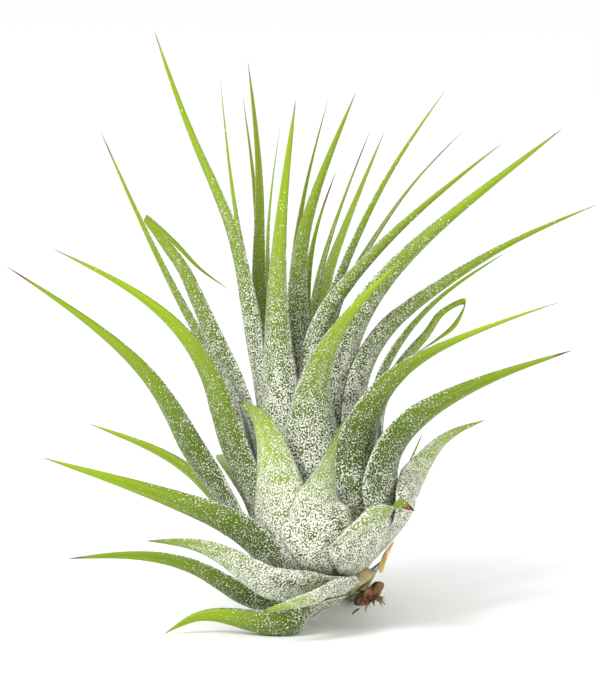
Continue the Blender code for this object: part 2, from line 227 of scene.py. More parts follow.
def rows_from(tip):
    """The vertices of a solid, in rows by how many edges they lie from its tip."""
    rows = [[tip]]
    seen = {tip}
    while True:
        reached = {e.other_vert(v) for v in rows[-1] for e in v.link_edges} - seen
        if not reached:
            return rows
        seen |= reached
        rows.append(sorted(reached, key=lambda v: v.index))


def sections_in_rows(solid):
    """The tip of a leaf and its sections from the foot to the tip, or None if they aren't clear."""
    best = None
    for tip in solid.verts:
        rows = rows_from(tip)
        if len(rows[-1]) != SECTION_POINTS or max(map(len, rows)) > SECTION_POINTS:
            continue
        usable = [row for row in rows[1:] if len(row) >= FEWEST_POINTS]
        points = sum(map(len, usable))
        if len(usable) >= FEWEST_SECTIONS and (best is None or points > best[0]):
            best = (points, tip, usable[::-1])
    return None if best is None else best[1:]


def in_order(row):
    """The points of one section, in order round it."""
    members = set(row)
    beside = {v: [] for v in row}
    for v in row:
        for edge in v.link_edges:
            other = edge.other_vert(v)
            crosses = any(not members.issuperset(face.verts) for face in edge.link_faces)
            if other in members and crosses:
                beside[v].append(other)
    if any(len(pair) != 2 for pair in beside.values()):
        return None
    ring = [row[0], beside[row[0]][0]]
    while len(ring) < len(row):
        ring.append(next(v for v in beside[ring[-1]] if v is not ring[-2]))
    return np.array([v.co[:] for v in ring])


def filled_out(ring):
    """The ways to bring a section back to its full number of points by doubling some."""
    rings = [ring]
    while len(rings[0]) < SECTION_POINTS:
        rings = [np.insert(r, i, r[i], 0) for r in rings for i in range(len(r))]
    return rings


def lined_up(rings):
    """The sections turned so that point for point they run along the leaf."""
    out = [rings[0]]
    for ring in rings[1:]:
        before = out[-1] - out[-1].mean(0)
        options = []
        ways = [w for full in filled_out(ring) for w in (full, full[::-1])]
        for way in ways:
            for turn in range(SECTION_POINTS):
                turned = np.roll(way, turn, 0)
                here = turned - turned.mean(0)
                options.append((np.square(here - before).sum(), len(options), turned))
        out.append(min(options)[2])
    return np.array(out)


def leaf_sections(node):
    """A leaf's sections, each from one margin over the back to the other and home inside.

    None if the solid's points don't lie in clear sections.
    """
    solid = merged_copy(node)
    found = sections_in_rows(solid)
    rings = [in_order(row) for row in found[1]] if found else [None]
    point = np.array(found[0].co[:]) if found else None
    solid.free()
    if any(ring is None for ring in rings):
        return None
    rings = lined_up(rings)
    half = SECTION_POINTS // 2
    spans = [np.linalg.norm(rings[:, i] - rings[:, i + half], axis=1).sum() for i in range(half)]
    rings = np.roll(rings, -int(np.argmax(spans)), 1)
    chord = (rings[:, 0] + rings[:, half]) / 2
    back = np.linalg.norm(rings[:, 2] - chord, axis=1).sum()
    inside = np.linalg.norm(rings[:, 2 + half] - chord, axis=1).sum()
    if back < inside:
        rings = np.roll(rings, half, 1)
    return rings, point


# Drawing the skin


def curve_through(knots, points, at):
    """A smooth curve through points at knots, read at other places along it."""
    slopes = np.empty_like(points)
    shape = (-1,) + (1,) * (points.ndim - 1)
    flat = np.diff(knots).reshape(shape)
    rise = np.diff(points, axis=0) / flat
    slopes[1:-1] = (rise[:-1] * flat[1:] + rise[1:] * flat[:-1]) / (flat[:-1] + flat[1:])
    slopes[0] = rise[0]
    slopes[-1] = rise[-1]
    i = np.clip(np.searchsorted(knots, at, side="right") - 1, 0, len(knots) - 2)
    wide = knots[i + 1] - knots[i]
    t = ((at - knots[i]) / wide).reshape(shape)
    wide = wide.reshape(shape)
    return (
        (2 * t**3 - 3 * t**2 + 1) * points[i]
        + (t**3 - 2 * t**2 + t) * wide * slopes[i]
        + (3 * t**2 - 2 * t**3) * points[i + 1]
        + (t**3 - t**2) * wide * slopes[i + 1]
    )


def fine_rings(rings, tip, rows, columns):
    """Many sections of many points each, and how far along and across each point lies."""
    middles = np.concatenate([rings.mean(1), tip[None]])
    length = np.concatenate([[0], np.cumsum(np.linalg.norm(np.diff(middles, axis=0), axis=1))])
    knots = length / length[-1]
    closed = np.concatenate([rings, np.repeat(tip[None, None], SECTION_POINTS, 1)])
    along = np.linspace(0, 1, rows + 1)[:-1]
    sections = curve_through(knots, closed, along)
    half = SECTION_POINTS // 2
    knot = np.linspace(-1, 1, half + 1)
    across = np.linspace(-1, 1, columns + 1)
    back = curve_through(knot, sections[:, : half + 1].swapaxes(0, 1), across)
    home = np.concatenate([sections[:, half:], sections[:, :1]], 1)
    inside = curve_through(knot, home.swapaxes(0, 1), across)
    points = np.concatenate([back, inside[1:-1]]).swapaxes(0, 1)
    place = np.concatenate([across, -across[1:-1]])
    is_inside = np.concatenate([np.zeros(columns + 1), np.ones(columns - 1)])
    return points, along, place, is_inside, length[-1]


def leaf_faces(rows, count):
    """Faces of a closed skin of rings, a foot and a tip."""
    faces = []
    for r in range(rows - 1):
        for i in range(count):
            j = (i + 1) % count
            faces.append((r * count + i, r * count + j, (r + 1) * count + j, (r + 1) * count + i))
    last = (rows - 1) * count
    tip = rows * count
    faces += [(last + i, last + (i + 1) % count, tip) for i in range(count)]
    faces.append((0, count - 1, 1))
    for i in range(1, count // 2 - 1):
        faces.append((i, count - i, count - i - 1, i + 1))
    faces.append((count // 2 - 1, count // 2 + 1, count // 2))
    return faces


def point_values(mesh, name, values):
    """Writes one number for every point of a mesh."""
    attribute = mesh.attributes.new(name, "FLOAT", "POINT")
    attribute.data.foreach_set("value", np.asarray(values, np.float32))


def scurf_cover(node, along, across, inside):
    """How thickly scurf covers a point of a leaf, from 0 to 1."""
    if SLOTS[node] == "silvery_leaf" or node in GREY_LEAVES:
        cover, losses = SILVERY_COVER
    elif node.startswith(UPRIGHT_LEAVES):
        cover, losses = UPRIGHT_COVER
    else:
        cover, losses = SPREADING_COVER
    for loss, first, last in losses:
        cover = cover - loss * smooth_step(along, first, last)
    fades = 1 - smooth_step(along, *FRINGE_FADES)
    fringe = FRINGE_COVER * smooth_step(abs(across), *FRINGE_ACROSS) * fades
    return np.clip((cover + fringe) * (1 - INSIDE_LOSS * inside), 0, 1)


def smooth_step(value, low, high):
    """0 below one limit and 1 above the other, with an easy change between."""
    t = np.clip((value - low) / (high - low), 0, 1)
    return t * t * (3 - 2 * t)


def leaf_mesh(node, rows, columns):
    """The fine skin of one leaf, its patterns' places with it."""
    sections = leaf_sections(node)
    if sections is None:
        return rounded_leaf_mesh(node)
    rings, tip = sections
    points, along, across, inside, length = fine_rings(rings, tip, rows, columns)
    count = points.shape[1]
    flat = within_box(node, np.concatenate([points.reshape(-1, 3), tip[None]]))
    mesh = bpy.data.meshes.new(node)
    mesh.from_pydata(flat.tolist(), [], leaf_faces(rows, count))
    all_along = np.append(np.repeat(along, count), 1.0)
    grain = np.gradient(points, axis=0)
    grain = np.concatenate([grain.reshape(-1, 3), grain[-1].mean(0)[None]])
    pattern_places(
        node, mesh, all_along, np.append(np.tile(across, rows), 0.0),
        np.append(np.tile(inside, rows), 0.0), grain,
    )
    widest = np.linalg.norm(np.diff(points, axis=1), axis=2).sum(1).max()
    uv = mesh.uv_layers.new(name="leaf").data
    for polygon in mesh.polygons:
        places = [mesh.loops[k].vertex_index for k in polygon.loop_indices]
        wraps = {(p % count) for p in places} >= {0, count - 1}
        for k, v in zip(polygon.loop_indices, places):
            column = v % count if v < rows * count else polygon_column(places, count, rows)
            if wraps and column == 0:
                column = count
            uv[k].uv = (column / count * widest, all_along[v] * length)
    return finished(mesh)


def within_box(node, points):
    """Points drawn in to their node's box, so that no skin stands out of its solid's extent."""
    low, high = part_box(node)
    return np.clip(points, np.array(low), np.array(high))


def pattern_places(node, mesh, along, across, inside, grain):
    """Writes what the finishes and the scurf follow, at every point of a leaf."""
    point_values(mesh, "along", along)
    point_values(mesh, "across", across)
    point_values(mesh, "inside", inside)
    point_values(mesh, "cover", scurf_cover(node, along, across, inside))
    reach = BROWN_TIPS.get(node, TIP_DRYNESS)
    starts, done = (1 - reach * span for span in DRYING_SPAN)
    point_values(mesh, "dryness", smooth_step(along, starts, done))
    point_values(mesh, "tone", np.full(len(along), (hash_of(node) % TONES) / TONES))
    grain = grain / np.maximum(np.linalg.norm(grain, axis=1, keepdims=True), 1e-12)
    attribute = mesh.attributes.new("grain", "FLOAT_VECTOR", "POINT")
    attribute.data.foreach_set("vector", grain.astype(np.float32).reshape(-1))


def finished(mesh):
    """The mesh with its faces turned outwards and shaded smooth."""
    if signed_volume(mesh) < 0:
        mesh.flip_normals()
    mesh.shade_smooth()
    mesh.update()
    return mesh


def rounded_leaf_mesh(node):
    """A leaf's skin where its solid has no clear sections: the solid itself, rounded."""
    mesh = rounded_mesh(node, ROUNDING_LEVELS)
    points = within_box(node, np.array([v.co[:] for v in mesh.vertices]))
    mesh.vertices.foreach_set("co", points.astype(np.float32).reshape(-1))
    middle = points.mean(0)
    run, side, _ = np.linalg.svd(points - middle, full_matrices=False)[2]
    if run[2] < 0:
        run = -run
    reach = (points - middle) @ run
    along = (reach - reach.min()) / (reach.max() - reach.min())
    none = np.zeros(len(points))
    pattern_places(node, mesh, along, none, none, np.repeat(run[None], len(points), 0))
    uv = (mesh.uv_layers.get("leaf") or mesh.uv_layers.new(name="leaf")).data
    for loop in mesh.loops:
        place = points[loop.vertex_index] - middle
        u, v = ROUNDED_PATTERN_PLACE
        uv[loop.index].uv = (float(place @ side) + u, float(place @ run) + v)
    return finished(mesh)


def rounded_mesh(node, levels):
    """A plain mesh of a node's solid, rounded by subdivision."""
    solid = merged_copy(node)
    rough = bpy.data.meshes.new(node + "_rough")
    solid.to_mesh(rough)
    solid.free()
    holder = bpy.data.objects.new(node + "_rough", rough)
    bpy.context.scene.collection.objects.link(holder)
    rounding = holder.modifiers.new("Rounding", "SUBSURF")
    rounding.levels = rounding.render_levels = levels
    graph = bpy.context.evaluated_depsgraph_get()
    mesh = bpy.data.meshes.new_from_object(holder.evaluated_get(graph))
    bpy.data.objects.remove(holder)
    bpy.data.meshes.remove(rough)
    return mesh


def polygon_column(places, count, rows):
    """The column of a tip face, halfway between those of its other corners."""
    columns = [p % count for p in places if p < rows * count]
    return min(columns) + 0.5 if max(columns) - min(columns) <= 1 else count - 0.5


def signed_volume(mesh):
    """Six times a closed mesh's volume, below 0 where its faces are turned inwards."""
    total = 0.0
    mesh.calc_loop_triangles()
    for t in mesh.loop_triangles:
        a, b, c = (mesh.vertices[i].co for i in t.vertices)
        total += a.dot(b.cross(c))
    return total


def hash_of(name):
    """A fixed number for a name, the same on every run."""
    value = HASH_START
    for letter in name:
        value = (value * HASH_STEP + ord(letter)) % HASH_SIZE
    return value


def linked(name, mesh, material):
    """A new object in the scene, in one material."""
    mesh.materials.clear()
    mesh.materials.append(material)
    piece = bpy.data.objects.new(name, mesh)
    bpy.context.scene.collection.objects.link(piece)
    return piece


def fit(piece, node):
    """Puts a finished piece on the plant's one body, in its node's place, and hides its node's solid."""
    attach(piece, "root")
    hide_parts(node)


# Materials


class Nodes:
    """A small helper that adds and joins the nodes of one tree."""

    def __init__(self, tree):
        self.tree = tree

    def add(self, kind, values=None, **settings):
        node = self.tree.nodes.new(kind)
        for name, value in settings.items():
            setattr(node, name, value)
        for socket, value in (values or {}).items():
            if isinstance(value, bpy.types.NodeSocket):
                self.tree.links.new(value, node.inputs[socket])
            else:
                node.inputs[socket].default_value = value
        return node

    def math(self, operation, a, b):
        node = self.add("ShaderNodeMath", operation=operation)
        for i, value in enumerate((a, b)):
            if isinstance(value, bpy.types.NodeSocket):
                self.tree.links.new(value, node.inputs[i])
            else:
                node.inputs[i].default_value = value
        return node.outputs[0]

    def blend(self, share, a, b):
        node = self.add("ShaderNodeMix", data_type="RGBA")
        for name, value in (("Factor", share), ("A", a), ("B", b)):
            socket = next(s for s in node.inputs if s.name == name and s.enabled)
            if isinstance(value, bpy.types.NodeSocket):
                self.tree.links.new(value, socket)
            else:
                socket.default_value = value
        return next(s for s in node.outputs if s.enabled)

    def step(self, value, low, high):
        node = self.add("ShaderNodeMapRange", interpolation_type="SMOOTHSTEP")
        self.tree.links.new(value, node.inputs["Value"])
        node.inputs["From Min"].default_value = low
        node.inputs["From Max"].default_value = high
        return node.outputs["Result"]


def new_group(name, inputs, outputs):
    """An empty shader group with named sockets, its nodes, what it is given and where it ends."""
    group = bpy.data.node_groups.new(name, "ShaderNodeTree")
    for label, kind, default in inputs:
        socket = group.interface.new_socket(label, in_out="INPUT", socket_type=kind)
        socket.default_value = default
    for label, kind in outputs:
        group.interface.new_socket(label, in_out="OUTPUT", socket_type=kind)
    nodes = Nodes(group)
    return group, nodes, nodes.add("NodeGroupInput").outputs, nodes.add("NodeGroupOutput")


def scurf_speckle_group():
    """Specks longer along the leaf than across it, closing up as the cover thickens."""
    group, nodes, given, out = new_group(
        "Scurf speckle",
        [
            ("Specks per metre", "NodeSocketFloat", SPECKS_PER_METRE),
            ("Stretch", "NodeSocketFloat", SPECK_STRETCH),
            ("Cover", "NodeSocketFloat", 0.5),
        ],
        [("Mask", "NodeSocketFloat"), ("Height", "NodeSocketFloat")],
    )
    place = nodes.add("ShaderNodeUVMap", uv_map="leaf").outputs[0]
    stretch = nodes.add("ShaderNodeCombineXYZ", {"X": 1.0, "Y": given["Stretch"], "Z": 1.0})
    stretched = nodes.add(
        "ShaderNodeVectorMath", {0: place, 1: stretch.outputs[0]}, operation="MULTIPLY"
    ).outputs[0]
    specks = {"Scale": given["Specks per metre"], "Detail": SPECK_DETAIL, "Roughness": SPECK_ROUGHNESS}
    fine = nodes.add("ShaderNodeTexNoise", {"Vector": stretched, **specks}).outputs["Fac"]
    patch_scale = nodes.math("MULTIPLY", given["Specks per metre"], PATCH_SCALE)
    patches = {"Scale": patch_scale, "Detail": PATCH_DETAIL}
    coarse = nodes.add("ShaderNodeTexNoise", {"Vector": stretched, **patches}).outputs["Fac"]
    patch = nodes.math("MULTIPLY", nodes.math("SUBTRACT", coarse, NOISE_MIDDLE), PATCH_STRENGTH)
    varied = nodes.math("ADD", given["Cover"], patch)
    level = nodes.math("SUBTRACT", SPECK_LEVEL, nodes.math("MULTIPLY", varied, COVER_EFFECT))
    mask = nodes.step(nodes.math("SUBTRACT", fine, level), *SPECK_EDGES)
    nodes.tree.links.new(mask, out.inputs["Mask"])
    nodes.tree.links.new(mask, out.inputs["Height"])
    return group


def long_ribs_group():
    """Fine veins running the length of a leaf."""
    group, nodes, given, out = new_group(
        "Long ribs",
        [("Ribs per metre", "NodeSocketFloat", RIBS_PER_METRE)],
        [("Height", "NodeSocketFloat")],
    )
    place = nodes.add("ShaderNodeUVMap", uv_map="leaf").outputs[0]
    thin = nodes.add("ShaderNodeVectorMath", {0: place, 1: RIB_STRETCH}, operation="MULTIPLY")
    noise = nodes.add(
        "ShaderNodeTexNoise",
        {"Vector": thin.outputs[0], "Scale": given["Ribs per metre"], "Detail": RIB_DETAIL},
    )
    nodes.tree.links.new(noise.outputs["Fac"], out.inputs["Height"])
    return group


def attribute(nodes, name):
    """A number that was written at every point of a leaf."""
    return nodes.add("ShaderNodeAttribute", attribute_name=name).outputs["Fac"]


def leaf_material(name, colours, groups):
    """Green flesh with veins, a pale foot, a drying tip and specks of scurf; towards the tip the flesh
    lightens to the upper green, partly its own yellow-green and partly a painted glow of light through the
    leaf.
    """
    material = bpy.data.materials.new(name)
    material.use_nodes = True
    nodes = Nodes(material.node_tree)
    shader = material.node_tree.nodes["Principled BSDF"]
    along = attribute(nodes, "along")
    inside = attribute(nodes, "inside")
    tone = attribute(nodes, "tone")
    # Lower green to upper green along the leaf; the upper green is partly the tips' own colour and partly a
    # painted glow of light through them
    length = nodes.step(along, *UPPER_GREEN_AND_PAINTED_GLOW_FROM)
    flesh = nodes.blend(length, colours["base"], colours["end"])
    shade = nodes.blend(nodes.math("MULTIPLY", tone, TONE_SHARE), flesh, colours["deep"])
    faced = nodes.blend(nodes.math("MULTIPLY", inside, INNER_SHARE), shade, colours["inner"])
    foot = nodes.blend(nodes.step(along, *FOOT_FADES), faced, colours["foot"])
    ribs = nodes.add("ShaderNodeGroup", node_tree=groups["ribs"]).outputs["Height"]
    vein = nodes.math("MULTIPLY", nodes.step(ribs, *RIB_EDGES), RIB_SHARE)
    veined = nodes.blend(vein, foot, colours["deep"])
    scurf = nodes.add(
        "ShaderNodeGroup", {"Cover": attribute(nodes, "cover")}, node_tree=groups["speckle"]
    )
    coat = nodes.math("MULTIPLY", scurf.outputs["Mask"], SPECK_SHARE)
    coated = nodes.blend(coat, veined, colours["scurf"])
    dry = attribute(nodes, "dryness")
    tipped = nodes.blend(nodes.step(dry, *TIP_EDGES), coated, colours["tip"])
    ended = nodes.blend(nodes.step(dry, *TIP_END_EDGES), tipped, colours["tip_end"])
    material.node_tree.links.new(ended, shader.inputs["Base Color"])
    added = nodes.math("MULTIPLY", scurf.outputs["Mask"], SPECK_ADDED_ROUGHNESS)
    rough = nodes.math("ADD", added, BARE_ROUGHNESS)
    material.node_tree.links.new(rough, shader.inputs["Roughness"])
    height = nodes.math("ADD", nodes.math("MULTIPLY", ribs, RIB_HEIGHT), scurf.outputs["Height"])
    bump = nodes.add(
        "ShaderNodeBump", {"Height": height, "Strength": LEAF_BUMP, "Distance": BUMP_DISTANCE}
    )
    material.node_tree.links.new(bump.outputs[0], shader.inputs["Normal"])
    shader.inputs["Specular IOR Level"].default_value = LEAF_SPECULAR
    return material


def scurf_material(colour):
    """The flakes' own finish, a little uneven in shade."""
    material = bpy.data.materials.new("Silver scurf")
    material.use_nodes = True
    nodes = Nodes(material.node_tree)
    shader = material.node_tree.nodes["Principled BSDF"]
    place = nodes.add("ShaderNodeTexCoord").outputs["Object"]
    noise = nodes.add("ShaderNodeTexNoise", {"Vector": place, "Scale": SCURF_PATCHES}).outputs["Fac"]
    shade = nodes.blend(noise, tuple(SCURF_SHADE * c for c in colour[:3]) + (1.0,), colour)
    material.node_tree.links.new(shade, shader.inputs["Base Color"])
    shader.inputs["Roughness"].default_value = SCURF_ROUGHNESS
    return material


def dry_material(name, dark, light, scale, stretch):
    """A withered, fibrous finish: two colours in streaks, with a rough grain."""
    material = bpy.data.materials.new(name)
    material.use_nodes = True
    nodes = Nodes(material.node_tree)
    shader = material.node_tree.nodes["Principled BSDF"]
    place = nodes.add("ShaderNodeTexCoord").outputs["Object"]
    thin = nodes.add("ShaderNodeVectorMath", {0: place, 1: stretch}, operation="MULTIPLY").outputs[0]
    streak = nodes.add(
        "ShaderNodeTexNoise", {"Vector": thin, "Scale": scale, "Detail": STREAK_DETAIL}
    ).outputs["Fac"]
    colour = nodes.blend(nodes.step(streak, *STREAK_EDGES), dark, light)
    material.node_tree.links.new(colour, shader.inputs["Base Color"])
    least, added = STREAK_ROUGHNESS
    rough = nodes.math("ADD", nodes.math("MULTIPLY", streak, added), least)
    material.node_tree.links.new(rough, shader.inputs["Roughness"])
    bump = nodes.add(
        "ShaderNodeBump", {"Height": streak, "Strength": STREAK_BUMP, "Distance": BUMP_DISTANCE}
    )
    material.node_tree.links.new(bump.outputs[0], shader.inputs["Normal"])
    return material


# Scurf, grown by Geometry Nodes


def scurf_tree(material):
    """Flat flakes scattered by each point's cover and laid along the leaf's grain."""
    tree = bpy.data.node_groups.new("Grow scurf", "GeometryNodeTree")
    face = tree.interface
    face.new_socket("Leaves", in_out="INPUT", socket_type="NodeSocketGeometry")
    for label in (
        "Flakes per square metre", "Clumps per metre", "Flake radius", "Flake thickness", "Flake stretch"
    ):
        face.new_socket(label, in_out="INPUT", socket_type="NodeSocketFloat")
    face.new_socket("Seed", in_out="INPUT", socket_type="NodeSocketInt")
    face.new_socket("Scurf", in_out="OUTPUT", socket_type="NodeSocketGeometry")
    nodes = Nodes(tree)
    given = nodes.add("NodeGroupInput").outputs
    cover = nodes.add("GeometryNodeInputNamedAttribute", {"Name": "cover"}, data_type="FLOAT")
    sharp = nodes.math("POWER", cover.outputs["Attribute"], COVER_POWER)
    clumps = nodes.add("ShaderNodeTexNoise", {"Scale": given["Clumps per metre"], "Detail": CLUMP_DETAIL})
    clump = nodes.step(clumps.outputs["Fac"], *CLUMP_EDGES)
    density = nodes.math(
        "MULTIPLY", nodes.math("MULTIPLY", sharp, clump), given["Flakes per square metre"]
    )
    points = nodes.add(
        "GeometryNodeDistributePointsOnFaces",
        {"Mesh": given["Leaves"], "Seed": given["Seed"]},
        distribute_method="RANDOM",
    )
    tree.links.new(density, next(s for s in points.inputs if s.name == "Density" and s.enabled))
    grain = nodes.add("GeometryNodeInputNamedAttribute", {"Name": "grain"}, data_type="FLOAT_VECTOR")
    upright = nodes.add(
        "FunctionNodeAlignRotationToVector", {"Vector": points.outputs["Normal"]}, axis="Z"
    )
    direction = next(s for s in grain.outputs if s.enabled)
    laid = nodes.add(
        "FunctionNodeAlignRotationToVector",
        {"Rotation": upright.outputs[0], "Vector": direction},
        axis="Y",
        pivot_axis="Z",
    )
    flake = nodes.add(
        "GeometryNodeMeshCone",
        {
            "Vertices": FLAKE_SIDES,
            "Radius Top": 0.0,
            "Radius Bottom": given["Flake radius"],
            "Depth": given["Flake thickness"],
        },
    )
    size = nodes.add("FunctionNodeRandomValue", data_type="FLOAT")
    low = next(s for s in size.inputs if s.name == "Min" and s.enabled)
    high = next(s for s in size.inputs if s.name == "Max" and s.enabled)
    low.default_value, high.default_value = FLAKE_SIZES
    tree.links.new(given["Seed"], size.inputs["Seed"])
    random = next(s for s in size.outputs if s.enabled)
    longer = nodes.math("MULTIPLY", random, given["Flake stretch"])
    scale = nodes.add("ShaderNodeCombineXYZ", {"X": random, "Y": longer, "Z": random})
    placed = nodes.add(
        "GeometryNodeInstanceOnPoints",
        {
            "Points": points.outputs["Points"],
            "Instance": flake.outputs["Mesh"],
            "Rotation": laid.outputs[0],
            "Scale": scale.outputs[0],
        },
    )
    real = nodes.add("GeometryNodeRealizeInstances", {"Geometry": placed.outputs[0]})
    finish = nodes.add("GeometryNodeSetMaterial", {"Geometry": real.outputs[0], "Material": material})
    out = nodes.add("NodeGroupOutput")
    tree.links.new(finish.outputs[0], out.inputs[0])
    return tree


def grown_from(meshes, name, tree, inputs):
    """The plain mesh that a tree of Geometry Nodes grows on some leaves."""
    joined = bmesh.new()
    for mesh in meshes:
        joined.from_mesh(mesh)
    ground = bpy.data.meshes.new(name + "_ground")
    joined.to_mesh(ground)
    joined.free()
    holder = bpy.data.objects.new(name + "_ground", ground)
    bpy.context.scene.collection.objects.link(holder)
    modifier = holder.modifiers.new("Grow scurf", "NODES")
    modifier.node_group = tree
    for socket in tree.interface.items_tree:
        if socket.in_out == "INPUT" and socket.name in inputs:
            modifier[socket.identifier] = inputs[socket.name]
    graph = bpy.context.evaluated_depsgraph_get()
    mesh = bpy.data.meshes.new_from_object(holder.evaluated_get(graph))
    holder.modifiers.remove(modifier)
    bpy.data.objects.remove(holder)
    bpy.data.meshes.remove(ground)
    mesh.name = name
    return mesh


# Settings that a user would change


class LeafSettings(bpy.types.PropertyGroup):
    """The skins of the leaves and the colours of their flesh"""

    rows: bpy.props.IntProperty(name="Rows", description="Sections along each leaf", default=84, min=20)
    columns: bpy.props.IntProperty(
        name="Columns", description="Strips across each face of a leaf", default=12, min=4
    )
    base: bpy.props.FloatVectorProperty(
        name="Lower green", description="Flesh of the lower blade", default=(0.075, 0.125, 0.006, 1.0),
        size=4, subtype="COLOR", min=0, max=1,
    )
    # Partly the tips' own yellow-green, partly a painted glow of light shining through the thin tips
    end: bpy.props.FloatVectorProperty(
        name="Upper green", description="Flesh towards the tip", default=(0.32, 0.47, 0.010, 1.0),
        size=4, subtype="COLOR", min=0, max=1,
    )
    deep: bpy.props.FloatVectorProperty(
        name="Deep green", description="Darker leaves and veins", default=(0.045, 0.085, 0.004, 1.0),
        size=4, subtype="COLOR", min=0, max=1,
    )
    inner: bpy.props.FloatVectorProperty(
        name="Inner face", description="Inside of the channel", default=(0.20, 0.26, 0.012, 1.0),
        size=4, subtype="COLOR", min=0, max=1,
    )
    foot: bpy.props.FloatVectorProperty(
        name="Foot", description="Pale foot of the sheath", default=(0.13, 0.165, 0.012, 1.0),
        size=4, subtype="COLOR", min=0, max=1,
    )
    tip: bpy.props.FloatVectorProperty(
        name="Tip", description="Drying tip", default=(0.24, 0.07, 0.03, 1.0),
        size=4, subtype="COLOR", min=0, max=1,
    )
    tip_end: bpy.props.FloatVectorProperty(
        name="Tip end", description="Very end of a dried tip", default=(0.05, 0.015, 0.015, 1.0),
        size=4, subtype="COLOR", min=0, max=1,
    )
    silver: bpy.props.FloatVectorProperty(
        name="Silvery flesh", description="Flesh of the short outer leaves",
        default=(0.085, 0.115, 0.008, 1.0), size=4, subtype="COLOR", min=0, max=1,
    )


class ScurfSettings(bpy.types.PropertyGroup):
    """The scurf on the leaves"""

    colour: bpy.props.FloatVectorProperty(
        name="Colour", description="Scurf", default=(0.92, 0.93, 0.80, 1.0),
        size=4, subtype="COLOR", min=0, max=1,
    )
    per_square_metre: bpy.props.FloatProperty(
        name="Flakes per square metre", description="Where the cover is full", default=9.0e6, min=0
    )
    clumps_per_metre: bpy.props.FloatProperty(
        name="Clumps per metre", description="How finely the flakes gather", default=2400.0, min=0
    )
    radius: bpy.props.FloatProperty(
        name="Flake radius", description="Across the leaf", default=0.000085, unit="LENGTH", precision=6
    )
    thickness: bpy.props.FloatProperty(
        name="Flake thickness", description="Height of a flake", default=0.00007, unit="LENGTH", precision=6
    )
    stretch: bpy.props.FloatProperty(
        name="Flake stretch", description="Length of a flake for its width", default=1.35, min=1
    )
    seed: bpy.props.IntProperty(name="Seed", description="Scatter of the flakes", default=11)


class DrySettings(bpy.types.PropertyGroup):
    """The withered stem end and the other dry parts"""

    dark: bpy.props.FloatVectorProperty(
        name="Dark", description="Withered tissue", default=(0.075, 0.028, 0.012, 1.0),
        size=4, subtype="COLOR", min=0, max=1,
    )
    straw: bpy.props.FloatVectorProperty(
        name="Straw", description="Dry fibres", default=(0.58, 0.42, 0.20, 1.0),
        size=4, subtype="COLOR", min=0, max=1,
    )
    amber: bpy.props.FloatVectorProperty(
        name="Amber", description="Dry bract", default=(0.58, 0.34, 0.09, 1.0),
        size=4, subtype="COLOR", min=0, max=1,
    )
    wear: bpy.props.FloatProperty(
        name="Wear", description="Depth of the hollows in the withered end", default=0.0009,
        unit="LENGTH", precision=5,
    )
    fibres: bpy.props.IntProperty(name="Fibres", description="On the withered end", default=46, min=0)
    fibre_radius: bpy.props.FloatProperty(
        name="Fibre radius", description="At its root", default=0.00028, unit="LENGTH", precision=5
    )


class StageSettings(bpy.types.PropertyGroup):
    """The floor, the light and the camera"""

    floor: bpy.props.FloatVectorProperty(
        name="Floor", description="Pale floor", default=(0.96, 0.96, 0.96, 1.0),
        size=4, subtype="COLOR", min=0, max=1,
    )
    key: bpy.props.FloatProperty(name="Key light", description="Power", default=3.6, unit="POWER")
    fill: bpy.props.FloatProperty(name="Fill light", description="Power", default=0.3, unit="POWER")
    surround: bpy.props.FloatProperty(name="Surround", description="Brightness all round", default=0.97)
    elevation: bpy.props.FloatProperty(
        name="Elevation", description="Of the camera", default=math.radians(10), subtype="ANGLE"
    )


SETTINGS = {
    "air_plant_leaves": LeafSettings,
    "air_plant_scurf": ScurfSettings,
    "air_plant_dry": DrySettings,
    "air_plant_stage": StageSettings,
}


def leaf_nodes():
    """The names of the leaves, in the frame's order."""
    return [node for node, slot in SLOTS.items() if slot in LEAF_SLOTS]


class AddLeaves(bpy.types.Operator):
    """Draws every leaf's fine skin over its solid"""

    bl_idname = "air_plant.leaves"
    bl_label = "Leaves"

    def execute(self, context):
        wish = context.scene.air_plant_leaves
        scurf = context.scene.air_plant_scurf.colour[:]
        groups = {"speckle": scurf_speckle_group(), "ribs": long_ribs_group()}
        colours = {
            key: getattr(wish, key)[:] for key in ("base", "end", "deep", "inner", "foot", "tip", "tip_end")
        }
        colours["scurf"] = scurf
        green = leaf_material("Green leaf", colours, groups)
        colours["base"] = colours["foot"] = wish.silver[:]
        silvery = leaf_material("Silvery leaf", colours, groups)
        for node in leaf_nodes():
            mesh = leaf_mesh(node, wish.rows, wish.columns)
            material = silvery if SLOTS[node] == "silvery_leaf" else green
            fit(linked("skin_" + node, mesh, material), node)
        return {"FINISHED"}


class AddScurf(bpy.types.Operator):
    """Grows the silvery scurf, a few leaves to a piece"""

    bl_idname = "air_plant.scurf"
    bl_label = "Scurf"

    def execute(self, context):
        wish = context.scene.air_plant_scurf
        material = scurf_material(wish.colour[:])
        tree = scurf_tree(material)
        nodes = leaf_nodes()
        for first in range(0, len(nodes), LEAVES_PER_SCURF_PIECE):
            some = nodes[first : first + LEAVES_PER_SCURF_PIECE]
            number = first // LEAVES_PER_SCURF_PIECE + 1
            inputs = {
                "Flakes per square metre": wish.per_square_metre,
                "Clumps per metre": wish.clumps_per_metre,
                "Flake radius": wish.radius,
                "Flake thickness": wish.thickness,
                "Flake stretch": wish.stretch,
                "Seed": wish.seed + number,
            }
            meshes = [bpy.data.objects["skin_" + node].data for node in some]
            mesh = grown_from(meshes, f"scurf_{number:02d}", tree, inputs)
            keep_within(mesh)
            piece = linked(f"scurf_{number:02d}", mesh, material)
            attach(piece, "root")
        return {"FINISHED"}


def keep_within(mesh):
    """Draws in any flake that would stand out of the plant's box."""
    low, high = (np.array(corner) for corner in CAD_BOUNDS)
    places = np.empty(len(mesh.vertices) * 3, np.float32)
    mesh.vertices.foreach_get("co", places)
    places = np.clip(places.reshape(-1, 3), low, high)
    mesh.vertices.foreach_set("co", places.reshape(-1))
    mesh.update()


